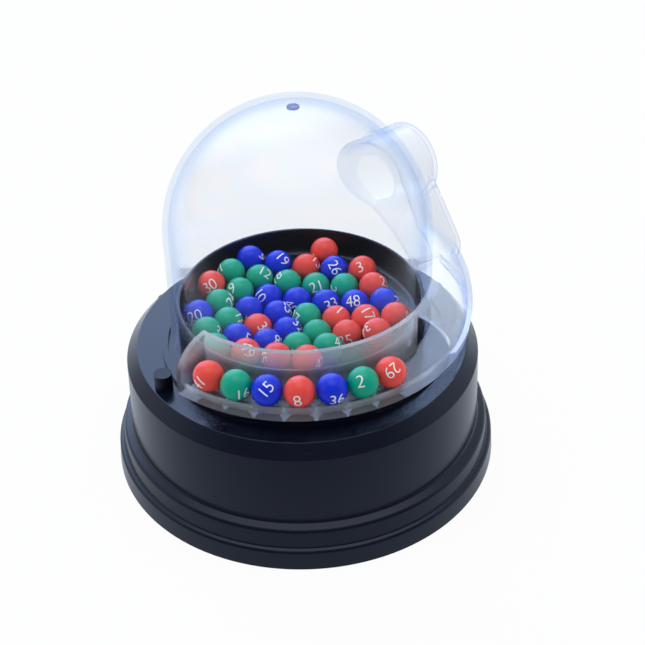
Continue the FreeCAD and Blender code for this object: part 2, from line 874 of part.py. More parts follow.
def build_button():
    ring = button_ring()
    azimuth = S.button_azimuth
    x, y = around(ring, azimuth)
    plunger_top = S.board_top + S.switch_height + 2.0
    flange_top = deck_under() - 0.02
    head = cylinder("button_head", S.button_radius, flange_top - 0.6, S.button_top, x, y)
    flange = cylinder("button_flange", S.button_radius + 0.4, flange_top - 1.2, flange_top, x, y)
    stem = cylinder("button_stem", 1.5, plunger_top, flange_top, x, y)
    node(fuse("button_cap", [head, flange, stem]), "button_cap")
    plunger_low = S.board_top + S.button_travel + 0.9
    node(cylinder("plunger", 1.7, plunger_low, plunger_top, x, y), "switch_plunger")
    switch_top = S.board_top + S.switch_height
    block = box("switch_block", -3.0, 3.0, -ring - 3.0, -ring + 3.0, S.board_top, switch_top, azimuth)
    bore = cylinder("switch_bore", 1.7 + S.running_fit, S.board_top + 0.6, switch_top + 1.0, x, y)
    node(cut("switch_body", block, bore), "switch_body")
    board_low = S.board_top - S.board_thickness
    board_out = -ring - S.board_outward
    board_in = -ring + S.board_inward
    half = S.board_half
    board = box("board", -half, half, board_out, board_in, board_low, S.board_top, azimuth)
    holes = []
    screws = []
    for index, side in enumerate(SIDES):
        hole_x, hole_y = board_screw_at(side)
        holes.append(
            cylinder("board_way_{}".format(index), 1.0, board_low - 1.0, S.board_top + 1.0, hole_x, hole_y)
        )
        screws.append(
            screw("board_screw_{}".format(index), hole_x, hole_y, board_low, 1.6, 1.2, 0.8, 6.5)
        )
    node(cut("switch_board", board, fuse("board_ways", holes)), "switch_board")
    node(group("board_screw_pair", screws), "board_screws")
    pins = []
    for index, side in enumerate(SIDES):
        pin_x, pin_y = pin_at(side)
        pins.append(cylinder("switch_pin_{}".format(index), 0.45, pin_end(), board_low, pin_x, pin_y))
    node(group("switch_pins", pins), "switch_terminals")


def pin_end():
    return S.board_top - S.board_thickness - 2.2


def lead(label, points, bend):
    """An insulated wire of straight runs joined by tangent arcs."""
    corners = [Vector(*[Dim.of(size).value for size in point]) for point in points]
    edges = []
    start = corners[0]
    for before, corner, after in zip(corners, corners[1:], corners[2:]):
        into = (corner - before).normalize()
        away = (after - corner).normalize()
        half_turn = into.getAngle(away) / 2.0
        back = bend * math.tan(half_turn)
        enter = corner - into * back
        leave = corner + away * back
        inward = (away - into).normalize()
        middle = corner + inward * (bend / math.cos(half_turn) - bend)
        edges.append(Part.LineSegment(start, enter).toShape())
        edges.append(Part.Arc(enter, middle, leave).toShape())
        start = leave
    edges.append(Part.LineSegment(start, corners[-1]).toShape())
    spine = Part.Wire(edges)
    along = (corners[1] - corners[0]).normalize()
    ring = Part.Wire([Part.makeCircle(S.lead_radius.value, corners[0], along)])
    obj = doc.addObject("Part::Feature", label + "_wire")
    obj.Shape = spine.makePipeShell([ring], True, True)
    node(obj, label)


def build_leads():
    tab_x = -S.bay_half - S.lead_radius - 0.02
    start = tab_top() - 2.0
    first_y = S.cell_first
    second_y = S.cell_first + S.cell_spacing
    pin_a = pin_at(SIDES[0])
    pin_b = pin_at(SIDES[1])
    under = motor_low() - 3.7
    lead(
        "lead_battery_switch",
        [
            (tab_x, second_y, start),
            (tab_x, second_y, start + 6.0),
            (-34.0, 8.0, start + 6.0),
            (pin_a[0], -7.0, 17.0),
            (pin_a[0], pin_a[1], 17.0),
            (pin_a[0], pin_a[1], pin_end()),
        ],
        3.0,
    )
    lead(
        "lead_switch_motor",
        [
            (pin_b[0], pin_b[1], pin_end()),
            (pin_b[0], pin_b[1], 12.0),
            (0.0, -20.0, 12.0),
            (22.0, -13.0, 12.0),
            (22.0, 0.0, under),
            (6.2, 0.0, under),
        ],
        3.0,
    )
    lead(
        "lead_battery_motor",
        [
            (tab_x, first_y, start),
            (tab_x, first_y, start + 4.5),
            (-22.0, 0.0, start + 4.5),
            (-22.0, 0.0, under),
            (-6.2, 0.0, under),
        ],
        3.0,
    )


def round_topped(name, radius, low):
    """The outside of a dome: a cylinder under a half ball."""
    barrel = cylinder(name + "_barrel", radius, low, S.dome_centre)
    cap = sphere(name + "_cap", radius, 0.0, 0.0, S.dome_centre)
    bind(cap, "Angle1", 0.0)
    return fuse(name, [barrel, cap])


def build_dome():
    outside = round_topped("dome_outside", S.dome_radius, S.deck_top)
    gate = cylinder("gate_mark", 1.2, S.dome_centre + S.dome_radius - 0.4, S.dome_centre + S.dome_radius + 0.26)
    inside = round_topped("dome_inside", S.dome_radius - S.dome_wall, S.deck_top - 1.0)
    way = rod(
        "exit_way", S.exit_radius, lobe_reach(), 0.0, 0.0, S.exit_height, RIGHT, 90.0
    )
    way.Placement = Placement(
        Vector(0, 0, S.exit_height.value),
        Rotation(UP, S.exit_azimuth.value).multiply(Rotation(RIGHT, 90.0)),
    )
    whole = fuse("dome_whole", [outside, gate])
    node(cut("dome", whole, fuse("dome_hollow", [inside, way])), "dome")


def ring_section(name, section, start, span):
    """A piece of a round-sectioned ring that hugs the dome, from an azimuth over a span."""
    obj = doc.addObject("Part::Torus", name)
    bind(obj, "Radius1", cover_ring())
    bind(obj, "Radius2", section)
    bind(obj, "Angle3", span)
    return put(obj, 0.0, 0.0, S.tray_lip_top, UP, Dim.of(start).value - 90.0)


def rising_section(name, section, start, span):
    """A ring section that is tilted about the chute's mouth, so that it rises towards the back."""
    obj = ring_section(name, section, start, span)
    mouth = cover_start().value
    hinge = Vector(math.sin(math.radians(mouth)), -math.cos(math.radians(mouth)), 0)
    tilt = Rotation(hinge, S.cover_tilt.value)
    obj.Placement = Placement(obj.Placement.Base, tilt.multiply(obj.Placement.Rotation))
    return obj


def cover_start():
    return S.mouth_azimuth + S.cover_lean


def lobe(name, shrink):
    """The round housing over the exit hole, with a rounded outer edge."""
    radius = S.lobe_radius - shrink
    reach = lobe_reach() - shrink
    body = turned(name, [(0.0, 0.0), (radius, 0.0), (radius, reach), (0.0, reach)])
    soften(body, name + "_rounding", S.lobe_rounding - shrink, [(radius, reach)])
    x, y = around(0.0, S.lobe_azimuth, S.lobe_across)
    outward = Rotation(UP, S.lobe_azimuth.value).multiply(Rotation(RIGHT, 90.0))
    body.Placement = Placement(Vector(x.value, y.value, S.exit_height.value), outward)
    return body


def keyhole(name, shrink):
    """The way down from the lobe to a narrower heel beside the tray."""
    body = doc.addObject("PartDesign::Body", name)
    sketch = sketch_on(body, "XZ_Plane", name + "_outline")
    big = S.slope_head - shrink
    small = S.heel_radius - shrink
    big_at = Vector(S.lobe_across.value, S.exit_height.value, 0)
    small_at = Vector(-S.heel_across.value, S.heel_height.value, 0)
    along = big_at - small_at
    lean = math.atan2(along.y, along.x)
    spread = math.acos((big.value - small.value) / along.Length)
    first, last = lean + math.pi - spread, lean + math.pi + spread
    ends = []
    for centre, radius in ((big_at, big.value), (small_at, small.value)):
        for angle in (first, last):
            ends.append(centre + Vector(math.cos(angle), math.sin(angle), 0) * radius)
    big_circle = Part.Circle(big_at, UP, big.value)
    small_circle = Part.Circle(small_at, UP, small.value)
    sketch.addGeometry(Part.ArcOfCircle(big_circle, last, first + 2.0 * math.pi), False)
    sketch.addGeometry(Part.ArcOfCircle(small_circle, first, last), False)
    sketch.addGeometry(Part.LineSegment(ends[0], ends[2]), False)
    sketch.addGeometry(Part.LineSegment(ends[3], ends[1]), False)
    for joint in ((0, 2, 2, 1), (2, 2, 1, 1), (1, 2, 3, 1), (3, 2, 0, 1)):
        sketch.addConstraint(Sketcher.Constraint("Tangent", *joint))
    for curve, radius in ((0, big), (1, small)):
        index = sketch.addConstraint(Sketcher.Constraint("Radius", curve, radius.value))
        sketch.setExpression("Constraints[{}]".format(index), radius.text)
    hold(sketch, "DistanceX", 0, 3, S.lobe_across)
    hold(sketch, "DistanceY", 0, 3, S.exit_height)
    hold(sketch, "DistanceX", 1, 3, -S.heel_across)
    hold(sketch, "DistanceY", 1, 3, S.heel_height)
    pad = body.newObject("PartDesign::Pad", name + "_pad")
    pad.Profile = sketch
    bind(pad, "Length", slope_reach() - shrink)
    doc.recompute()
    face_at = -(slope_reach().value - Dim.of(shrink).value)
    names = []
    for index, edge in enumerate(pad.Shape.Edges, start=1):
        if all(abs(vertex.Point.y - face_at) < 1e-4 for vertex in edge.Vertexes):
            names.append("Edge{}".format(index))
    rounding = body.newObject("PartDesign::Fillet", name + "_rounding")
    rounding.Base = (pad, names)
    bind(rounding, "Radius", S.lobe_rounding - shrink)
    body.Placement = Placement(Vector(0, 0, 0), Rotation(UP, S.lobe_azimuth.value))
    doc.recompute()
    return body


def build_chute():
    wall = S.clear_wall
    whole = Dim(0.0)
    cover_span = S.cover_end - cover_start()
    cover_out = rising_section("cover_out", S.cover_section, cover_start(), cover_span)
    below = cylinder("cover_below", S.foot_radius, 0.0, S.tray_lip_top)
    cover_half = cut("cover_half", cover_out, below)
    outside = fuse("chute_outside", [cover_half, keyhole("slope_out", whole), lobe("lobe_out", whole)])
    cover_in = rising_section("cover_in", S.cover_section - wall, cover_start() - 3.0, cover_span + 1.2)
    core = round_topped("chute_core", S.dome_radius + S.glue_line, S.deck_top - 1.0)
    opened = cut("chute_opened", outside, cover_in)
    hollowed = cut("chute_hollowed", opened, keyhole("slope_in", wall))
    cleared = cut("chute_cleared", hollowed, lobe("lobe_in", wall))
    node(cut("ball_chute", cleared, core), "ball_chute")


def build_tray():
    back = S.dome_radius + S.glue_line
    low = S.tray_floor - S.clear_wall - 0.1
    wall = S.clear_wall
    lip = tray_lip_radius()
    gutter = [
        (back, low),
        (lip, low),
        (lip, S.tray_lip_top),
        (lip - wall, S.tray_lip_top),
        (lip - wall, S.tray_floor),
        (back + wall, S.tray_floor),
        (back + wall, S.tray_back_top),
        (back, S.tray_back_top),
    ]
    floor = [
        (back, low),
        (lip, low),
        (lip, S.tray_lip_top),
        (lip - wall, S.tray_lip_top),
        (lip - wall, S.tray_floor),
        (back, S.tray_floor),
    ]
    stop = [(back, low), (lip, low), (lip, S.tray_lip_top), (back, S.tray_lip_top)]
    open_part = turned("tray_open", gutter, S.tray_left, S.mouth_azimuth - S.tray_left)
    hidden_part = turned("tray_hidden", floor, S.mouth_azimuth, S.cover_end - S.mouth_azimuth)
    right_stop = turned("tray_stop", stop, S.cover_end - 1.6, 1.6)
    left_stop = turned("tray_left_foot", stop, S.tray_left, 2.0)
    arch = ring_section("tray_arch", S.cover_section, S.tray_left, 2.0)
    below = cylinder("arch_below", S.foot_radius, 0.0, S.tray_lip_top)
    core = cylinder("arch_core", back, S.deck_top - 1.0, S.dome_centre)
    trimmed = cut("tray_arch_trimmed", arch, fuse("arch_waste", [below, core]))
    lip_ring = cylinder("arch_limit", lip, S.deck_top, S.dome_centre)
    end_wall = common("tray_end_wall", trimmed, lip_ring)
    node(fuse("ball_tray", [open_part, hidden_part, right_stop, left_stop, end_wall]), "ball_tray")


COLOURS = {"R": "red", "G": "green", "B": "blue"}
# The balls lie in the bowl in tilted rows from the back to the front, each row starting at a
# place along the row; the letters are the colours.
BALL_ROWS = (
    (-4, 2, "R"),
    (-3, -1, "BBRBR"),
    (-2, -2, "GGGGGR"),
    (-1, -3, "RGBBBBB"),
    (0, -3, "GBBGRRR"),
    (1, -4, "BGRBGRR"),
    (2, -4, "GBBGG"),
    (3, -4, "GRRR"),
)
DRAWN_BALLS = "RGBRBGR"


def build_balls():
    sets = {letter: [] for letter in COLOURS}
    turn = math.radians(S.ball_turn.value)
    pitch = S.ball_pitch
    along = (pitch * math.cos(turn), pitch * math.sin(turn))
    down = (pitch * math.cos(turn - math.pi / 3.0), pitch * math.sin(turn - math.pi / 3.0))
    lean = math.cos(math.atan(S.dish_rise.value))
    roomy = (rim_radius() - S.rim_wall - S.ball_radius).value
    for row, first, letters in BALL_ROWS:
        for step, letter in enumerate(letters):
            place = first + step + 0.2
            x = along[0] * place + down[0] * float(row)
            y = along[1] * place + down[1] * float(row)
            ring = math.hypot(x.value, y.value)
            if ring > roomy:
                continue
            on_stirrer = S.agitator_rib_top + S.ball_radius + 0.2
            on_dish = dish_at(ring) + S.ball_radius / lean + 0.05
            z = on_dish if on_dish.value > on_stirrer.value else on_stirrer
            name = "ball_{}_{}".format(COLOURS[letter], len(sets[letter]))
            sets[letter].append(sphere(name, S.ball_radius, x, y, z))
    for letter, colour in COLOURS.items():
        node(group(colour + "_set", sets[letter]), colour + "_balls")
    drawn = {letter: [] for letter in COLOURS}
    for index, letter in enumerate(DRAWN_BALLS):
        azimuth = S.drawn_first + S.drawn_step * float(index)
        x, y = around(drawn_ring(), azimuth)
        name = "drawn_{}_{}".format(COLOURS[letter], len(drawn[letter]))
        z = S.tray_floor + S.ball_radius + 0.02
        drawn[letter].append(sphere(name, S.ball_radius, x, y, z))
    for letter, colour in COLOURS.items():
        node(group("drawn_{}_set".format(colour), drawn[letter]), "drawn_{}_balls".format(colour))


def write_parts():
    doc.recompute()
    os.makedirs("parts", exist_ok=True)
    for obj in doc.Objects:
        if "Invalid" in obj.State or "Error" in obj.State:
            raise RuntimeError("object not built: " + obj.Name)
    for obj in NODES:
        shape = obj.Shape
        if shape.isNull() or not shape.isValid():
            raise RuntimeError("shape not valid: " + obj.Label)
        shape.exportStep("parts/{}.step".format(obj.Label))
        print(obj.Label, len(shape.Solids), "solids", round(shape.Volume, 1), "mm3")


build_base_shell()
build_bowl()
build_motor()
build_cradle()
build_agitator()
build_bottom_cover()
build_cells()
build_button()
build_leads()
build_dome()
build_chute()
build_tray()
build_balls()
write_parts()
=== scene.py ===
"""Looks of a tabletop number-ball draw machine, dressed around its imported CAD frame."""

import logging
import math
from dataclasses import dataclass, field, replace
from enum import Enum
from typing import Any, Callable, Dict, List, Optional, Sequence, Tuple

import bpy
from mathutils import Matrix, Vector

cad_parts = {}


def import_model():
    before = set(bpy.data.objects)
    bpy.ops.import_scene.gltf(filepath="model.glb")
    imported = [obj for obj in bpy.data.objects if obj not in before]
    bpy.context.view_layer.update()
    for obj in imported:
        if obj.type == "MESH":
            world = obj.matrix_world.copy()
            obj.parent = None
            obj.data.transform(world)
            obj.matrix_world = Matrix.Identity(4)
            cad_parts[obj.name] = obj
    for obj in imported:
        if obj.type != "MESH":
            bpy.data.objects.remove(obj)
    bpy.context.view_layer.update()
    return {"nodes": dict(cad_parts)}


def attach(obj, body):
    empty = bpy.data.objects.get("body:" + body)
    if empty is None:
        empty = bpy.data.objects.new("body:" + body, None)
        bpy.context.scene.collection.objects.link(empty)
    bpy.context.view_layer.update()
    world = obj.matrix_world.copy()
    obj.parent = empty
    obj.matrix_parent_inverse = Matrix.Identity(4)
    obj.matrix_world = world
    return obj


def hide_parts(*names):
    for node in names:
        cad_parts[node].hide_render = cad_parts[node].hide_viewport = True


LOG = logging.getLogger("draw_machine")
MM = 0.001
NOISE_MIDDLE = 0.5
Point = Tuple[float, float, float]
Colour = Tuple[float, float, float, float]


class Body(Enum):
    """The rigid bodies that the new pieces ride on."""

    BASE = "base"
    TOP = "clear_top"


class BallColour(Enum):
    """The three colours of ball, by the letter used in the rows."""

    RED = "R"
    GREEN = "G"
    BLUE = "B"

    @property
    def word(self) -> str:
        """The colour's plain name."""
        return self.name.lower()


class Ray(Enum):
    """The kinds of ray that a surface or the world tells apart, by the name of their output."""

    CAMERA = "Is Camera Ray"
    SHADOW = "Is Shadow Ray"
    DIFFUSE = "Is Diffuse Ray"
    GLOSSY = "Is Glossy Ray"
    TRANSMISSION = "Is Transmission Ray"


class Value:
    """A number socket in a node graph, with arithmetic that adds Math nodes."""

    def __init__(self, graph: "Graph", socket: bpy.types.NodeSocket) -> None:
        """Keeps the graph and the socket that the value comes from."""
        self.graph = graph
        self.socket = socket

    def _math(self, operation: str, first: Any, second: Any) -> "Value":
        """Adds one Math node.

        Args:
            operation: Blender's name of the operation.
            first: the first number or Value.
            second: the second number or Value.

        Returns:
            The result as a Value.
        """
        node = self.graph.node("Math", {"operation": operation}, {0: first, 1: second})
        return Value(self.graph, node.outputs[0])

    def __add__(self, other: Any) -> "Value":
        """Sum."""
        return self._math("ADD", self, other)

    def __radd__(self, other: Any) -> "Value":
        """Reflected sum."""
        return self._math("ADD", other, self)

    def __sub__(self, other: Any) -> "Value":
        """Difference."""
        return self._math("SUBTRACT", self, other)

    def __rsub__(self, other: Any) -> "Value":
        """Reflected difference."""
        return self._math("SUBTRACT", other, self)

    def __mul__(self, other: Any) -> "Value":
        """Product."""
        return self._math("MULTIPLY", self, other)

    def __rmul__(self, other: Any) -> "Value":
        """Reflected product."""
        return self._math("MULTIPLY", other, self)

    def __pow__(self, other: Any) -> "Value":
        """Power."""
        return self._math("POWER", self, other)

    def __rpow__(self, other: Any) -> "Value":
        """Reflected power."""
        return self._math("POWER", other, self)

    def larger(self, other: Any) -> "Value":
        """The larger of two values."""
        return self._math("MAXIMUM", self, other)


class Graph:
    """The node tree of one material or world."""

    def __init__(self, owner: Any) -> None:
        """Empties the tree of a material or world."""
        owner.use_nodes = True
        self.tree = owner.node_tree
        self.tree.nodes.clear()

    def node(
        self,
        kind: str,
        settings: Optional[Dict[str, Any]] = None,
        inputs: Optional[Dict[Any, Any]] = None,
    ) -> bpy.types.Node:
        """Adds a node.

        Args:
            kind: the node's type without the ShaderNode prefix.
            settings: properties, which are set before the sockets.
            inputs: values, Values or sockets by input name or index.

        Returns:
            The new node.
        """
        made = self.tree.nodes.new("ShaderNode" + kind)
        for key, value in (settings or {}).items():
            setattr(made, key, value)
        for key, value in (inputs or {}).items():
            source = value.socket if isinstance(value, Value) else value
            if isinstance(source, bpy.types.NodeSocket):
                self.tree.links.new(source, made.inputs[key])
            else:
                made.inputs[key].default_value = source
        return made

    def shader(self, kind: str, inputs: Dict[Any, Any]) -> bpy.types.NodeSocket:
        """Adds a shader node.

        Args:
            kind: the node's type without the ShaderNode prefix.
            inputs: values, Values or sockets by input name or index.

        Returns:
            The shader's output socket.
        """
        return self.node(kind, None, inputs).outputs[0]

    def blend(
        self, share: Value, first: bpy.types.NodeSocket, second: bpy.types.NodeSocket
    ) -> bpy.types.NodeSocket:
        """Mixes two shaders.

        Args:
            share: share of the second shader.
            first: shader at zero.
            second: shader at one.

        Returns:
            The mixed shader's socket.
        """
        return self.shader("MixShader", {0: share, 1: first, 2: second})

    def ray(self, kind: Ray) -> Value:
        """One for rays of a kind, and zero for all others."""
        return self.value(self.node("LightPath"), kind.value)

    def along(self, axis: str, space: str = "Object") -> Value:
        """One coordinate of what is shaded.

        Args:
            axis: X, Y or Z.
            space: the output of Texture Coordinate that is read.

        Returns:
            The coordinate's value.
        """
        where = self.node("TexCoord").outputs[space]
        return self.value(self.node("SeparateXYZ", None, {0: where}), axis)

    def value(self, node: bpy.types.Node, output: Any = 0) -> Value:
        """Wraps one of a node's outputs for arithmetic."""
        return Value(self, node.outputs[output])

    def noise(self, scale: float, detail: float = 2.0) -> Value:
        """Noise on object coordinates.

        Args:
            scale: how fine it is, per metre.
            detail: the octaves.

        Returns:
            The noise's value, about a half on average.
        """
        where = self.node("TexCoord").outputs["Object"]
        made = self.node("TexNoise", None, {"Vector": where, "Scale": scale, "Detail": detail})
        return self.value(made, "Fac")

    def mix(self, factor: Value, first: Colour, second: Colour) -> bpy.types.NodeSocket:
        """Mixes two colours.

        Args:
            factor: share of the second colour.
            first: colour at zero.
            second: colour at one.

        Returns:
            The colour socket.
        """
        made = self.node("MixRGB", {"blend_type": "MIX"}, {0: factor, 1: first, 2: second})
        return made.outputs[0]

    def fade(self, value: Value, low: float, high: float) -> Value:
        """A smooth step from zero to one.

        Args:
            value: what is tested.
            low: where the step starts.
            high: where it ends.

        Returns:
            The step's value.
        """
        settings = {"interpolation_type": "SMOOTHSTEP"}
        made = self.node("MapRange", settings, {"Value": value, "From Min": low, "From Max": high})
        return self.value(made, "Result")

    def bump(self, height: Value, distance: float, strength: float) -> bpy.types.NodeSocket:
        """A bump from a height value.

        Args:
            height: the height.
            distance: its size in metres.
            strength: its share.

        Returns:
            The normal socket.
        """
        made = self.node("Bump", None, {"Height": height, "Distance": distance, "Strength": strength})
        return made.outputs[0]

    def surface(self, socket: bpy.types.NodeSocket, kind: str = "OutputMaterial") -> None:
        """Links a shader to the output."""
        self.node(kind, None, {"Surface": socket})


class Finish:
    """A surface finish that makes its material once and hands it out again."""

    name: str

    def material(self) -> bpy.types.Material:
        """The finish's material, made on first use."""
        label = "finish_" + self.name
        found = bpy.data.materials.get(label)
        if found is None:
            found = bpy.data.materials.new(label)
            self.paint(Graph(found))
        return found

    def paint(self, graph: Graph) -> None:
        """Builds the node tree."""
        raise NotImplementedError

    def dress(self, piece: bpy.types.Object) -> None:
        """Puts the material on all of a piece.

        Args:
            piece: the object to dress.
        """
        piece.data.materials.clear()
        piece.data.materials.append(self.material())


@dataclass(frozen=True)
class MouldedPlastic(Finish):
    """Opaque moulded plastic with a fine grain and slightly uneven gloss."""

    name: str
    colour: Colour
    worn: Colour
    roughness: float
    unevenness: float
    grain: float
    grain_scale: float = 2600.0
    grain_height: float = 0.04 * MM
    cloud_scale: float = 55.0
    cloud_detail: float = 3.0
    specular: float = 0.5
    gloss_tint: Colour = (1.0, 1.0, 1.0, 1.0)
    coat: float = 0.0
    coat_roughness: float = 0.06

    def paint(self, graph: Graph) -> None:
        """Builds the grain, the cloudy gloss and the faint change of colour."""
        clouds = graph.noise(self.cloud_scale, self.cloud_detail)
        grain = graph.noise(self.grain_scale)
        shader = graph.shader(
            "BsdfPrincipled",
            {
                "Base Color": graph.mix(clouds, self.colour, self.worn),
                "Roughness": self.roughness + (clouds - NOISE_MIDDLE) * self.unevenness,
                "Specular IOR Level": self.specular,
                "Specular Tint": self.gloss_tint,
                "Coat Weight": self.coat,
                "Coat Roughness": self.coat_roughness,
                "Normal": graph.bump(grain, self.grain_height, self.grain),
            },
        )
        graph.surface(shader)


@dataclass(frozen=True)
class ClearPlastic(Finish):
    """Clear moulded plastic that lets light through to what is inside, with a painted reflection at its
    outline: a darker blue tint where it is seen aslant.
    """

    name: str
    face: Colour
    # edge: the colour of the painted reflection at the outline, darker and bluer than the face
    edge: Colour
    edge_falloff: float
    refraction: float
    gloss: float
    gloss_roughness: float = 0.01
    gloss_refraction: float = 1.48
    passing: Colour = (0.985, 0.992, 1.0, 1.0)
    facing_blend: float = 0.35
    ripple: float = 0.05
    ripple_scale: float = 60.0
    ripple_height: float = 0.2 * MM
    # how far aslant the painted outline reflection starts and is full, and its share
    rim_from: float = 0.50
    rim_full: float = 0.85
    rim_share: float = 0.85
    haze: float = 0.0
    haze_colour: Colour = (0.84, 0.90, 1.0, 1.0)
    haze_roughness: float = 0.4
    haze_from: float = 0.0
    haze_rise: float = 4.0 * MM
    haze_least: float = 0.25
    cloud_scale: float = 90.0
    cloud_least: float = 0.85
    cloud_swing: float = 0.3

    def paint(self, graph: Graph) -> None:
        """Builds refracting plastic that casts hardly any shadow and hides nothing from reflections,
        and paints a darker blue reflection at its outline.
        """
        facing = graph.value(graph.node("LayerWeight", None, {"Blend": self.facing_blend}), "Facing")
        aslant = facing ** self.edge_falloff
        ripple = graph.noise(self.ripple_scale)
        clear = graph.shader(
            "BsdfPrincipled",
            {
                # painted reflection: the base colour turns darker and bluer where the surface is seen
                # aslant
                "Base Color": graph.mix(aslant, self.face, self.edge),
                "Roughness": 0.0,
                "IOR": self.refraction,
                "Transmission Weight": 1.0,
                "Coat Weight": (1.0 - aslant) * self.gloss,
                "Coat IOR": self.gloss_refraction,
                "Coat Roughness": self.gloss_roughness,
                "Normal": graph.bump(ripple, self.ripple_height, self.ripple),
            },
        )
        # painted reflection: a plain darker blue see-through tint takes over at the outline
        painted_rim = graph.shader("BsdfTransparent", {"Color": self.edge})
        painted_rim_mix = graph.fade(facing, self.rim_from, self.rim_full) * self.rim_share
        passing = graph.shader("BsdfTransparent", {"Color": self.passing})
        mirrored = graph.ray(Ray.GLOSSY) * (1.0 - graph.ray(Ray.TRANSMISSION))
        through = graph.ray(Ray.SHADOW).larger(graph.ray(Ray.DIFFUSE)).larger(mirrored)
        body = graph.blend(through, graph.blend(painted_rim_mix, clear, painted_rim), passing)
        if self.haze > 0.0:
            body = self.clouded(graph, body, 1.0 - through)
        graph.surface(body)

    def clouded(
        self, graph: Graph, body: bpy.types.NodeSocket, seen: Value
    ) -> bpy.types.NodeSocket:
        """Adds a milky haze that thickens with height.

        Args:
            graph: the material's graph.
            body: the clear shader.
            seen: one for rays that see the plastic, and zero for those that pass.

        Returns:
            The hazy shader's socket.
        """
        milky = graph.shader(
            "BsdfPrincipled", {"Base Color": self.haze_colour, "Roughness": self.haze_roughness}
        )
        raised = graph.fade(graph.along("Z"), self.haze_from, self.haze_from + self.haze_rise)
        thickness = self.haze_least + raised * (1.0 - self.haze_least)
        clouds = self.cloud_least + graph.noise(self.cloud_scale) * self.cloud_swing
        return graph.blend(seen * self.haze * thickness * clouds, body, milky)


@dataclass(frozen=True)
class Metal(Finish):
    """Plated or drawn metal with fine lines in its gloss."""

    name: str
    colour: Colour
    dulled: Colour
    roughness: float
    unevenness: float = 0.12
    cloud_scale: float = 300.0
    cloud_detail: float = 3.0
    lines: float = 0.15
    line_scale: float = 2500.0
    line_height: float = 0.03 * MM

    def paint(self, graph: Graph) -> None:
        """Builds metal with an uneven gloss."""
        clouds = graph.noise(self.cloud_scale, self.cloud_detail)
        lines = graph.noise(self.line_scale)
        shader = graph.shader(
            "BsdfPrincipled",
            {
                "Base Color": graph.mix(clouds, self.colour, self.dulled),
                "Metallic": 1.0,
                "Roughness": self.roughness + (lines - NOISE_MIDDLE) * self.unevenness,
                "Normal": graph.bump(lines, self.line_height, self.lines),
            },
        )
        graph.surface(shader)


def grey(level: float) -> Colour:
    """A neutral colour of one level."""
    return (level, level, level, 1.0)


SATIN_BLACK = MouldedPlastic(
    "satin_black",
    colour=(0.0026, 0.0038, 0.0100, 1.0),
    worn=(0.0038, 0.0052, 0.0120, 1.0),
    roughness=0.22,
    unevenness=0.07,
    grain=0.06,
    specular=0.44,
    gloss_tint=(0.78, 0.84, 1.0, 1.0),
)
BUTTON_BLACK = replace(SATIN_BLACK, name="button_black", roughness=0.42, specular=0.32, grain=0.14)
GLOSS_BLACK = replace(
    SATIN_BLACK,
    name="gloss_black",
    colour=(0.004, 0.004, 0.005, 1.0),
    worn=(0.006, 0.006, 0.008, 1.0),
    roughness=0.26,
    unevenness=0.06,
    grain=0.02,
    specular=0.60,
)
CLEAR = ClearPlastic(
    "clear_plastic",
    face=(0.958, 0.978, 1.0, 1.0),
    # edge: painted reflection, a darker blue tint at the dome's outline
    edge=(0.905, 0.94, 0.997, 1.0),
    edge_falloff=2.5,
    refraction=1.06,
    gloss=0.55,
    rim_from=0.32,
    rim_full=0.56,
    rim_share=0.95,
)
TRAY_CLEAR = replace(
    CLEAR,
    name="tray_plastic",
    face=(0.978, 0.989, 1.0, 1.0),
    # edge: painted reflection, a darker blue tint at the tray's outline
    edge=(0.78, 0.82, 0.98, 1.0),
    refraction=1.12,
    gloss=0.25,
    gloss_roughness=0.05,
    rim_from=0.30,
    rim_full=0.55,
    haze=0.22,
    haze_from=54.0 * MM,
    haze_colour=(0.90, 0.93, 1.0, 1.0),
)
CHUTE_CLEAR = replace(
    CLEAR,
    name="chute_plastic",
    face=(0.984, 0.992, 1.0, 1.0),
    # edge: painted reflection, a darker blue tint at the chute's outline
    edge=(0.87, 0.905, 0.995, 1.0),
    refraction=1.09,
    rim_from=0.28,
    rim_full=0.52,
    haze=0.13,
)
GATE_SCAR = ClearPlastic(
    "gate_scar",
    face=(0.30, 0.33, 0.48, 1.0),
    # edge: painted reflection, a darker tint at the scar's outline
    edge=(0.18, 0.20, 0.36, 1.0),
    edge_falloff=1.0,
    refraction=1.06,
    gloss=0.4,
    gloss_roughness=0.15,
    haze=0.35,
    haze_colour=(0.10, 0.12, 0.34, 1.0),
)
BALL = MouldedPlastic(
    "ball",
    colour=grey(0.5),
    worn=grey(0.5),
    roughness=0.26,
    unevenness=0.06,
    grain=0.03,
    specular=0.28,
    coat=0.1,
)
BALL_FINISH = {
    BallColour.RED: replace(
        BALL, name="ball_red", colour=(0.76, 0.064, 0.050, 1.0), worn=(0.80, 0.074, 0.060, 1.0)
    ),
    BallColour.GREEN: replace(
        BALL, name="ball_green", colour=(0.003, 0.32, 0.20, 1.0), worn=(0.004, 0.35, 0.22, 1.0)
    ),
    BallColour.BLUE: replace(
        BALL, name="ball_blue", colour=(0.005, 0.025, 0.60, 1.0), worn=(0.007, 0.031, 0.65, 1.0)
    ),
}
MATT_PLASTIC = MouldedPlastic(
    "matt_plastic",
    colour=grey(0.5),
    worn=grey(0.5),
    roughness=0.45,
    unevenness=0.1,
    grain=0.05,
)
BLACK_INSULATION = replace(
    MATT_PLASTIC, name="black_insulation", colour=grey(0.012), worn=grey(0.018)
)
RED_INSULATION = replace(
    MATT_PLASTIC, name="red_insulation", colour=(0.45, 0.02, 0.02, 1.0), worn=(0.5, 0.03, 0.03, 1.0)
)
PRINT = replace(
    MATT_PLASTIC, name="number_print", colour=grey(0.82), worn=grey(0.72), roughness=0.5
)
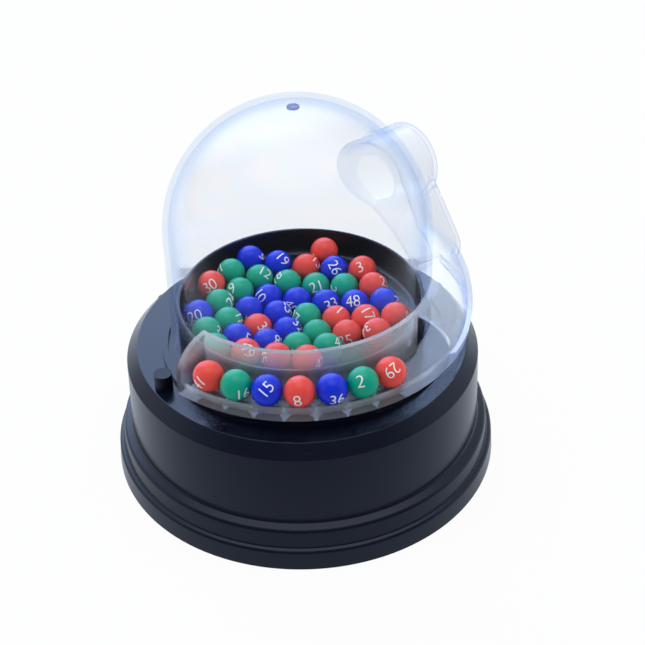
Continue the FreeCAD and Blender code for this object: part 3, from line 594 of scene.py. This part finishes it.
WHITE_PLASTIC = replace(
    MATT_PLASTIC,
    name="white_plastic",
    colour=grey(0.75),
    worn=(0.72, 0.70, 0.66, 1.0),
    grain=0.08,
)
CELL_WRAP = replace(
    MATT_PLASTIC,
    name="cell_wrap",
    colour=(0.05, 0.055, 0.065, 1.0),
    worn=(0.07, 0.075, 0.085, 1.0),
    roughness=0.3,
    grain=0.03,
)
LAMINATE = replace(
    MATT_PLASTIC,
    name="laminate",
    colour=(0.03, 0.11, 0.035, 1.0),
    worn=(0.05, 0.14, 0.05, 1.0),
    roughness=0.5,
    grain=0.2,
)
STEEL = Metal("plated_steel", colour=grey(0.58), dulled=(0.46, 0.47, 0.50, 1.0), roughness=0.32)
BRASS = Metal("brass", colour=(0.72, 0.50, 0.20, 1.0), dulled=(0.60, 0.40, 0.16, 1.0), roughness=0.3)
COPPER = Metal(
    "wound_copper", colour=(0.62, 0.28, 0.14, 1.0), dulled=(0.48, 0.20, 0.10, 1.0), roughness=0.35
)


class Bench:
    """Modelling by hand: operators on one fresh object at a time."""

    @staticmethod
    def clear() -> None:
        """Leaves edit mode and deselects everything."""
        if bpy.context.object is not None and bpy.context.object.mode != "OBJECT":
            bpy.ops.object.mode_set(mode="OBJECT")
        bpy.ops.object.select_all(action="DESELECT")

    @staticmethod
    def hold(piece: bpy.types.Object) -> None:
        """Selects one piece alone and makes it the active one."""
        Bench.clear()
        bpy.context.view_layer.objects.active = piece
        piece.select_set(True)

    @staticmethod
    def take(name: str) -> bpy.types.Object:
        """Names the object that an operator has just added.

        Args:
            name: the piece's name.

        Returns:
            The object.
        """
        piece = bpy.context.object
        piece.name = name
        piece.data.name = name
        return piece

    @staticmethod
    def edit(piece: bpy.types.Object, mode: str = "VERT") -> None:
        """Opens a piece in edit mode with everything selected."""
        Bench.hold(piece)
        bpy.ops.object.mode_set(mode="EDIT")
        bpy.ops.mesh.select_mode(type=mode)
        bpy.ops.mesh.select_all(action="SELECT")

    @staticmethod
    def pick_edges(piece: bpy.types.Object, test: Callable[[Vector, Vector], bool]) -> int:
        """Selects the edges whose two ends pass a test, and stays in edit mode.

        Args:
            piece: the object in edit mode.
            test: takes both ends of an edge.

        Returns:
            How many edges are selected.
        """
        bpy.ops.mesh.select_mode(type="EDGE")
        bpy.ops.mesh.select_all(action="DESELECT")
        bpy.ops.object.mode_set(mode="OBJECT")
        mesh = piece.data
        count = 0
        for edge in mesh.edges:
            ends = [mesh.vertices[index].co for index in edge.vertices]
            edge.select = test(ends[0], ends[1])
            count += edge.select
        bpy.ops.object.mode_set(mode="EDIT")
        return count

    @staticmethod
    def apply(piece: bpy.types.Object, kind: str, **settings: Any) -> None:
        """Adds a modifier and applies it.

        Args:
            piece: the object.
            kind: the modifier's type.
            settings: its properties.
        """
        Bench.hold(piece)
        made = piece.modifiers.new(kind.lower(), kind)
        for key, value in settings.items():
            setattr(made, key, value)
        bpy.ops.object.modifier_apply(modifier=made.name)

    @staticmethod
    def settle(piece: bpy.types.Object) -> None:
        """Puts a piece's place and turn into its mesh."""
        Bench.hold(piece)
        bpy.ops.object.transform_apply(location=True, rotation=True, scale=True)

    @staticmethod
    def smooth(piece: bpy.types.Object, angle: float = 35.0) -> None:
        """Smooth shading below an angle between faces."""
        Bench.hold(piece)
        bpy.ops.object.shade_smooth_by_angle(angle=math.radians(angle))

    @staticmethod
    def copy(piece: bpy.types.Object, name: str, place: Matrix) -> bpy.types.Object:
        """A copy with its own mesh, with its place in the mesh.

        Args:
            piece: what is copied.
            name: the copy's name.
            place: where the copy goes.

        Returns:
            The copy.
        """
        made = piece.copy()
        made.data = piece.data.copy()
        made.name = name
        bpy.context.scene.collection.objects.link(made)
        made.data.transform(place)
        return made

    @staticmethod
    def join(pieces: List[bpy.types.Object], name: str) -> bpy.types.Object:
        """Joins pieces into one object.

        Args:
            pieces: the objects; the first one stays.
            name: the joined object's name.

        Returns:
            The joined object.
        """
        Bench.clear()
        for piece in pieces:
            piece.select_set(True)
        bpy.context.view_layer.objects.active = pieces[0]
        bpy.ops.object.join()
        return Bench.take(name)

    @staticmethod
    def drop(piece: bpy.types.Object) -> None:
        """Deletes a pattern that has been copied."""
        bpy.data.objects.remove(piece, do_unlink=True)


@dataclass(frozen=True)
class Lie:
    """How one ball lies: its number, and where that shows as seen from the front and above."""

    number: int
    across: float
    above: float
    roll: float

    def turn(self, elevation: float) -> Matrix:
        """The turn that shows the number there.

        Args:
            elevation: how far above level the viewer is, in radians.

        Returns:
            The ball's turn.
        """
        upright = Matrix.Rotation(math.pi / 2.0 - elevation, 4, "X")
        aside = Matrix.Rotation(math.radians(self.across), 4, "Y")
        lifted = Matrix.Rotation(math.radians(-self.above), 4, "X")
        return upright @ aside @ lifted @ Matrix.Rotation(math.radians(self.roll), 4, "Z")


DRAWN_LIES = (
    Lie(41, -42.0, -24.0, 35.0),
    Lie(16, 34.0, -36.0, 20.0),
    Lie(15, -2.0, 6.0, 48.0),
    Lie(8, -10.0, -34.0, 4.0),
    Lie(36, 24.0, -42.0, 14.0),
    Lie(2, -12.0, 6.0, 8.0),
    Lie(29, 2.0, 8.0, 218.0),
)
BOWL_LIES = {
    2: Lie(19, 24.0, 22.0, -55.0),
    4: Lie(26, 2.0, 6.0, -65.0),
    5: Lie(3, -14.0, 10.0, 22.0),
    7: Lie(12, 32.0, 26.0, -40.0),
    9: Lie(21, 2.0, -2.0, 16.0),
    12: Lie(30, -4.0, -6.0, 30.0),
    13: Lie(9, -34.0, 14.0, 30.0),
    14: Lie(10, -38.0, 12.0, -50.0),
    15: Lie(40, -30.0, -24.0, -60.0),
    16: Lie(33, 22.0, -4.0, 24.0),
    17: Lie(48, -10.0, 12.0, 4.0),
    18: Lie(7, 52.0, 0.0, -20.0),
    20: Lie(44, 6.0, -40.0, 16.0),
    23: Lie(1, 22.0, 44.0, -50.0),
    24: Lie(17, 8.0, 24.0, -64.0),
    26: Lie(20, -12.0, -6.0, 18.0),
    28: Lie(39, 30.0, -6.0, -58.0),
    30: Lie(46, 26.0, -30.0, 30.0),
    31: Lie(35, -10.0, -26.0, 10.0),
    34: Lie(5, 48.0, -4.0, -30.0),
    36: Lie(11, -30.0, -30.0, 12.0),
    39: Lie(49, 12.0, 16.0, -70.0),
}


@dataclass
class NumberBalls:
    """The numbered balls in the bowl and in the tray."""

    viewer: float = math.radians(35.3)
    radius: float = 4.3 * MM
    segments: int = 56
    pitch: float = 8.8 * MM
    turn: float = math.radians(-12.0)
    offset: float = 0.2
    dish_low: float = 41.0 * MM
    dish_rise: float = 0.1944
    dish_start: float = 11.2 * MM
    dish_gap: float = 0.05 * MM
    stirrer_top: float = 41.2 * MM
    stirrer_gap: float = 0.2 * MM
    drawn_ring: float = 44.0 * MM
    drawn_floor: float = 48.52 * MM
    drawn_first: float = -35.8
    drawn_step: float = 11.4
    seam_width: float = 0.10 * MM
    seam_rise: float = 0.02 * MM
    seam_reach: float = 0.001 * MM
    ball_smoothing: float = 60.0
    print_size: float = 5.2 * MM
    print_spacing: float = 0.92
    print_steps: int = 3
    print_thinning: float = 0.035 * MM
    print_merge: float = 0.0001 * MM
    print_lift: float = 0.04 * MM
    print_thickness: float = 0.025 * MM
    print_smoothing: float = 40.0
    longest_edge: float = 0.6 * MM
    most_divisions: int = 4
    highest_number: int = 49
    spare_across: float = 62.0
    spare_above: float = 30.0
    spare_above_step: int = 37
    spare_roll_step: int = 97
    rows: Tuple[Tuple[int, int, str], ...] = (
        (-4, 2, "R"),
        (-3, -1, "BBRBR"),
        (-2, -2, "GGGGGR"),
        (-1, -3, "RGBBBBB"),
        (0, -3, "GBBGRRR"),
        (1, -4, "BGRBGRR"),
        (2, -4, "GBBGG"),
        (3, -4, "GRRR"),
    )
    drawn: str = "RGBRBGR"
    prints: Dict[int, bpy.types.Object] = field(default_factory=dict)

    def bowl_places(self) -> List[Tuple[BallColour, Vector]]:
        """Centres of the balls in the bowl, in rows from the back to the front.

        Returns:
            Colour and centre of each ball.
        """
        along = Vector((math.cos(self.turn), math.sin(self.turn), 0.0)) * self.pitch
        slant = self.turn - math.pi / 3.0
        down = Vector((math.cos(slant), math.sin(slant), 0.0)) * self.pitch
        lean = math.cos(math.atan(self.dish_rise))
        places = []
        for row, first, letters in self.rows:
            for step, letter in enumerate(letters):
                spot = along * (first + step + self.offset) + down * row
                dish = self.dish_low + (spot.length - self.dish_start) * self.dish_rise
                on_dish = dish + self.radius / lean + self.dish_gap
                spot.z = max(on_dish, self.stirrer_top + self.radius + self.stirrer_gap)
                places.append((BallColour(letter), spot))
        return places

    def drawn_places(self) -> List[Tuple[BallColour, Vector]]:
        """Centres of the balls in the tray, from left to right."""
        places = []
        for index, letter in enumerate(self.drawn):
            azimuth = math.radians(self.drawn_first + self.drawn_step * index)
            flat = Vector((math.sin(azimuth), -math.cos(azimuth), 0.0)) * self.drawn_ring
            flat.z = self.drawn_floor + self.radius
            places.append((BallColour(letter), flat))
        return places

    def on_seam(self, first: Vector, second: Vector) -> bool:
        """Whether both ends of an edge lie on the line where the ball's halves meet."""
        return max(abs(first.z), abs(second.z)) < self.seam_reach

    def too_long(self, first: Vector, second: Vector) -> bool:
        """Whether an edge of a print is too long to follow the ball."""
        return (first - second).length > self.longest_edge

    def blank(self) -> bpy.types.Object:
        """One moulded ball with the fine line where its two halves meet.

        Returns:
            The ball at the origin.
        """
        Bench.clear()
        bpy.ops.mesh.primitive_uv_sphere_add(
            segments=self.segments, ring_count=self.segments // 2, radius=self.radius
        )
        ball = Bench.take("ball_pattern")
        Bench.edit(ball)
        Bench.pick_edges(ball, self.on_seam)
        bpy.ops.mesh.bevel(offset=self.seam_width, segments=2, profile=0.5, affect="EDGES")
        Bench.pick_edges(ball, self.on_seam)
        grow = 1.0 + self.seam_rise / self.radius
        bpy.ops.transform.resize(value=(grow, grow, 1.0))
        bpy.ops.object.mode_set(mode="OBJECT")
        Bench.smooth(ball, self.ball_smoothing)
        return ball

    def printed(self, number: int) -> bpy.types.Object:
        """A printed number that hugs the ball, on its +Z side, made once per number.

        Args:
            number: what is printed.

        Returns:
            The print's mesh object.
        """
        if number in self.prints:
            return self.prints[number]
        Bench.clear()
        bpy.ops.object.text_add()
        text = bpy.context.object.data
        text.body = str(number)
        text.size = self.print_size
        text.align_x = "CENTER"
        text.align_y = "CENTER"
        text.resolution_u = self.print_steps
        text.offset = -self.print_thinning
        text.space_character = self.print_spacing
        bpy.ops.object.convert(target="MESH")
        made = Bench.take("print_{}".format(number))
        Bench.edit(made)
        bpy.ops.mesh.remove_doubles(threshold=self.print_merge)
        bpy.ops.mesh.quads_convert_to_tris(quad_method="BEAUTY", ngon_method="BEAUTY")
        bpy.ops.transform.translate(value=(0.0, 0.0, self.radius))
        for _ in range(self.most_divisions):
            if Bench.pick_edges(made, self.too_long) == 0:
                break
            bpy.ops.mesh.subdivide(number_cuts=1)
            bpy.ops.mesh.select_all(action="SELECT")
            bpy.ops.mesh.quads_convert_to_tris(quad_method="BEAUTY", ngon_method="BEAUTY")
        bpy.ops.object.mode_set(mode="OBJECT")
        heights = [vertex.co.y for vertex in made.data.vertices]
        middle = (min(heights) + max(heights)) / 2.0
        made.data.transform(Matrix.Translation((0.0, -middle, 0.0)))
        Bench.apply(
            made,
            "CAST",
            cast_type="SPHERE",
            factor=1.0,
            size=self.radius + self.print_lift,
            use_radius_as_size=False,
        )
        Bench.apply(made, "SOLIDIFY", thickness=self.print_thickness, offset=-1.0)
        Bench.smooth(made, self.print_smoothing)
        self.prints[number] = made
        return made

    def bowl_lies(self, count: int) -> List[Lie]:
        """How the balls in the bowl lie, the same in every run.

        Args:
            count: how many balls there are.

        Returns:
            The lies, in the order of the balls.
        """
        taken = {lie.number for lie in (*DRAWN_LIES, *BOWL_LIES.values())}
        spare = iter(number for number in range(1, self.highest_number + 1) if number not in taken)
        lies = []
        for index in range(count):
            if index in BOWL_LIES:
                lies.append(BOWL_LIES[index])
                continue
            across = self.spare_across if index % 2 else -self.spare_across
            above = (index * self.spare_above_step) % (2.0 * self.spare_above) - self.spare_above
            roll = (index * self.spare_roll_step) % 360
            lies.append(Lie(next(spare), across, above, roll))
        return lies

    def lay(
        self, pattern: bpy.types.Object, balls: Sequence[Tuple[Vector, Lie]]
    ) -> Tuple[List[bpy.types.Object], List[bpy.types.Object]]:
        """Copies the ball and its number, once on each side, to where each ball lies.

        Args:
            pattern: the blank ball.
            balls: centre and lie of each ball.

        Returns:
            The copies of the ball, and those of the numbers.
        """
        moulded, prints = [], []
        for centre, lie in balls:
            front = Matrix.Translation(centre) @ lie.turn(self.viewer)
            back = front @ Matrix.Rotation(math.pi, 4, "X")
            moulded.append(Bench.copy(pattern, "one_ball", front))
            for side in (front, back):
                prints.append(Bench.copy(self.printed(lie.number), "one_print", side))
        return moulded, prints

    def build(self) -> List[bpy.types.Object]:
        """Builds all balls and their numbers, one piece per colour and place.

        Returns:
            The finished pieces.
        """
        pattern = self.blank()
        pieces = []
        bowl = self.bowl_places()
        sets = (
            ("", Body.BASE, bowl, self.bowl_lies(len(bowl))),
            ("drawn_", Body.TOP, self.drawn_places(), DRAWN_LIES),
        )
        for prefix, body, places, lies in sets:
            for colour in BallColour:
                same = [(centre, lie) for (own, centre), lie in zip(places, lies) if own is colour]
                balls, prints = self.lay(pattern, same)
                node = "{}{}_balls".format(prefix, colour.word)
                ball_piece = Bench.join(balls, node + "_moulded")
                BALL_FINISH[colour].dress(ball_piece)
                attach(ball_piece, body.value)
                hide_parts(node)
                print_piece = Bench.join(prints, node + "_numbers")
                PRINT.dress(print_piece)
                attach(print_piece, body.value)
                pieces += [ball_piece, print_piece]
        for made in self.prints.values():
            Bench.drop(made)
        Bench.drop(pattern)
        return pieces


@dataclass
class CadDressing:
    """The CAD nodes that keep their shape and get a finish."""

    nodes: Dict[str, bpy.types.Object]
    finishes: Tuple[Tuple[Finish, Tuple[str, ...]], ...] = (
        (SATIN_BLACK, ("base_shell", "bottom_cover", "battery_door", "agitator", "switch_body")),
        (BUTTON_BLACK, ("button_cap",)),
        (GLOSS_BLACK, ("ball_bowl",)),
        (CLEAR, ("dome",)),
        (TRAY_CLEAR, ("ball_tray",)),
        (CHUTE_CLEAR, ("ball_chute",)),
        (STEEL, ("bowl_screws", "cover_screws", "cradle_screws", "board_screws", "hinge_pin")),
        (STEEL, ("motor_shaft", "motor_can", "contact_plates", "contact_springs")),
        (BRASS, ("motor_terminals", "motor_bushing", "switch_terminals")),
        (COPPER, ("motor_armature",)),
        (WHITE_PLASTIC, ("motor_end_cap", "motor_cradle", "switch_plunger")),
        (CELL_WRAP, ("battery_cells",)),
        (LAMINATE, ("switch_board",)),
        (RED_INSULATION, ("lead_battery_switch", "lead_switch_motor")),
        (BLACK_INSULATION, ("lead_battery_motor",)),
    )

    def dress(self) -> List[bpy.types.Object]:
        """Gives every listed node its finish.

        Returns:
            The dressed nodes.
        """
        dressed = []
        for finish, names in self.finishes:
            for name in names:
                finish.dress(self.nodes[name])
                dressed.append(self.nodes[name])
        return dressed


@dataclass
class GateScar:
    """The rough mark left on top of the dome where the moulding was filled."""

    top: float = 114.86 * MM
    depth: float = 0.5 * MM
    radius: float = 1.75 * MM
    segments: int = 40
    wall: float = 0.5 * MM
    dent: float = 0.2 * MM
    rounding: float = 0.08 * MM
    upright: float = 0.9

    def build(self) -> bpy.types.Object:
        """Builds a low round boss with a dent in it.

        Returns:
            The finished piece.
        """
        Bench.clear()
        bpy.ops.mesh.primitive_cylinder_add(
            vertices=self.segments,
            radius=self.radius,
            depth=self.depth,
            location=(0.0, 0.0, self.top - self.depth / 2.0),
        )
        piece = Bench.take("gate_scar")
        Bench.settle(piece)
        Bench.edit(piece, "FACE")
        bpy.ops.mesh.select_all(action="DESELECT")
        bpy.ops.object.mode_set(mode="OBJECT")
        for face in piece.data.polygons:
            face.select = face.normal.z > self.upright
        bpy.ops.object.mode_set(mode="EDIT")
        bpy.ops.mesh.inset(thickness=self.wall)
        bpy.ops.mesh.inset(thickness=self.rounding)
        bpy.ops.transform.translate(value=(0.0, 0.0, -self.dent))
        bpy.ops.object.mode_set(mode="OBJECT")
        Bench.apply(piece, "BEVEL", width=self.rounding, segments=2, limit_method="ANGLE")
        Bench.smooth(piece)
        GATE_SCAR.dress(piece)
        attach(piece, Body.TOP.value)
        return piece


@dataclass(frozen=True)
class Lamp:
    """A soft square lamp that leaves no hard square in gloss."""

    name: str
    place: Point
    size: float
    power: float
    colour: Colour

    def hang(self, target: Point) -> None:
        """Hangs the lamp in its place.

        Args:
            target: what it looks at.
        """
        data = bpy.data.lights.new(self.name, "AREA")
        data.size = self.size
        data.energy = self.power
        data.color = self.colour[:3]
        lamp = bpy.data.objects.new(self.name, data)
        lamp.visible_glossy = False
        bpy.context.scene.collection.objects.link(lamp)
        aim = Vector(target) - Vector(self.place)
        turn = aim.to_track_quat("-Z", "Y").to_matrix().to_4x4()
        lamp.matrix_world = Matrix.Translation(self.place) @ turn


LAMPS = (
    Lamp("top_softbox", place=(0.0, -0.05, 0.75), size=0.5, power=2.4, colour=(1.0, 0.99, 0.97, 1.0)),
    Lamp("back_window", place=(-0.35, 1.0, 0.72), size=0.9, power=7.0, colour=(0.72, 0.87, 1.0, 1.0)),
    Lamp("left_softbox", place=(-0.7, -0.15, 0.4), size=0.5, power=2.0, colour=(0.92, 0.96, 1.0, 1.0)),
    Lamp("right_softbox", place=(0.7, -0.1, 0.4), size=0.5, power=1.8, colour=(0.92, 0.96, 1.0, 1.0)),
)


@dataclass
class Studio:
    """Floor, light and camera."""

    elevation: float = math.radians(35.328)
    roll: float = math.radians(-2.2207)
    distance: float = 402.214 * MM
    nearest: float = 10.0 * MM
    target: Point = (0.0, 0.0, 50.0 * MM)
    sensor: float = 36.0
    focal_pixels: float = 1368.385
    frame_pixels: float = 645.0
    aim_x: float = 300.607
    aim_y: float = 304.571
    pale: Colour = (0.80, 0.88, 1.0, 1.0)
    dim: Colour = (0.15, 0.17, 0.22, 1.0)
    floor_size: float = 6.0
    floor_colour: Colour = grey(0.8)
    floor_white: float = 0.94
    floor_level: float = 1.2
    floor_edge: Tuple[float, float] = (-0.14, 0.18)
    sky: Colour = (0.88, 0.94, 1.0, 1.0)
    sky_level: float = 0.35
    room_edge: Tuple[float, float] = (-0.10, 0.55)
    room_level: float = 0.75
    glow_edge: Tuple[float, float] = (0.72, 0.97)
    window: Colour = (0.50, 0.66, 1.0, 1.0)
    window_at: Point = (-0.22, 0.80, 0.56)
    window_glow: float = 3.0
    overhead: Colour = (0.95, 0.98, 1.0, 1.0)
    overhead_at: Point = (0.0, 0.0, 1.0)
    overhead_glow: float = 0.9

    def camera(self) -> None:
        """Puts the camera where the photograph was taken from."""
        back = Vector((0.0, -math.cos(self.elevation), math.sin(self.elevation)))
        right = Vector((1.0, 0.0, 0.0))
        up = Vector((0.0, math.sin(self.elevation), math.cos(self.elevation)))
        across = right * math.cos(self.roll) + up * math.sin(self.roll)
        above = up * math.cos(self.roll) - right * math.sin(self.roll)
        data = bpy.data.cameras.new("camera")
        data.sensor_width = self.sensor
        data.lens = self.focal_pixels / self.frame_pixels * self.sensor
        data.shift_x = 0.5 - self.aim_x / self.frame_pixels
        data.shift_y = self.aim_y / self.frame_pixels - 0.5
        data.clip_start = self.nearest
        camera = bpy.data.objects.new("camera", data)
        bpy.context.scene.collection.objects.link(camera)
        turn = Matrix((across, above, back)).transposed().to_4x4()
        camera.matrix_world = Matrix.Translation(Vector(self.target) + back * self.distance) @ turn
        bpy.context.scene.camera = camera

    def floor(self) -> None:
        """A plain white floor that keeps a faint shadow, and in gloss is dim towards the front."""
        Bench.clear()
        bpy.ops.mesh.primitive_plane_add(size=self.floor_size)
        plane = Bench.take("floor")
        material = bpy.data.materials.new("white_floor")
        graph = Graph(material)
        seen = graph.ray(Ray.CAMERA).larger(graph.ray(Ray.TRANSMISSION))
        mirrored = graph.ray(Ray.GLOSSY) * (1.0 - seen)
        matt = graph.shader("BsdfDiffuse", {"Color": self.floor_colour})
        bright = graph.shader("Emission", {"Color": grey(1.0), "Strength": 1.0})
        front = graph.fade(graph.along("Y") * -1.0, *self.floor_edge)
        colour = graph.mix(front, self.pale, self.dim)
        pale = graph.shader("Emission", {"Color": colour, "Strength": self.floor_level})
        mixed = graph.blend(seen * self.floor_white, matt, bright)
        graph.surface(graph.blend(mirrored, mixed, pale))
        plane.data.materials.append(material)

    def world(self) -> None:
        """An even sky, seen white by the camera and through the clear parts, and as a room in gloss."""
        world = bpy.data.worlds.new("studio")
        bpy.context.scene.world = world
        graph = Graph(world)
        seen = graph.ray(Ray.CAMERA).larger(graph.ray(Ray.TRANSMISSION))
        sky = graph.shader("Background", {"Color": self.sky, "Strength": self.sky_level})
        front = graph.fade(graph.along("Y", "Generated") * -1.0, *self.room_edge)
        walls = graph.mix(front, self.pale, self.dim)
        room = graph.shader("Background", {"Color": walls, "Strength": self.room_level})
        window = self.glow(graph, self.window, self.window_at, self.window_glow)
        overhead = self.glow(graph, self.overhead, self.overhead_at, self.overhead_glow)
        lights = graph.shader("AddShader", {0: window, 1: overhead})
        shine = graph.shader("AddShader", {0: room, 1: lights})
        white = graph.shader("Background", {"Color": grey(1.0), "Strength": 1.0})
        lit = graph.blend(graph.ray(Ray.GLOSSY), sky, shine)
        graph.surface(graph.blend(seen, lit, white), "OutputWorld")

    def glow(
        self, graph: Graph, colour: Colour, towards: Point, strength: float
    ) -> bpy.types.NodeSocket:
        """A soft round glow in one direction, as gloss shows it.

        Args:
            graph: the world's graph.
            colour: the glow's colour.
            towards: its direction.
            strength: its strength in the middle.

        Returns:
            The shader socket.
        """
        ray = graph.node("TexCoord").outputs["Generated"]
        aim = tuple(Vector(towards).normalized())
        dot = graph.node("VectorMath", {"operation": "DOT_PRODUCT"}, {0: ray, 1: aim})
        share = graph.fade(graph.value(dot, "Value"), *self.glow_edge)
        return graph.shader("Background", {"Color": colour, "Strength": share * strength})

    def build(self) -> None:
        """Sets up the whole studio."""
        self.camera()
        self.floor()
        self.world()
        for lamp in LAMPS:
            lamp.hang(self.target)
        bpy.context.scene.view_settings.view_transform = "Standard"


def main() -> None:
    """Builds the looks in order and reports each piece."""
    logging.basicConfig(level=logging.INFO, format="%(name)s: %(message)s")
    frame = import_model()
    for node in CadDressing(frame["nodes"]).dress():
        LOG.info("dressed %s", node.name)
    for piece in NumberBalls().build():
        LOG.info("built %s, %d faces", piece.name, len(piece.data.polygons))
    scar = GateScar().build()
    LOG.info("built %s, %d faces", scar.name, len(scar.data.polygons))
    Studio().build()


if __name__ == "__main__":
    main()
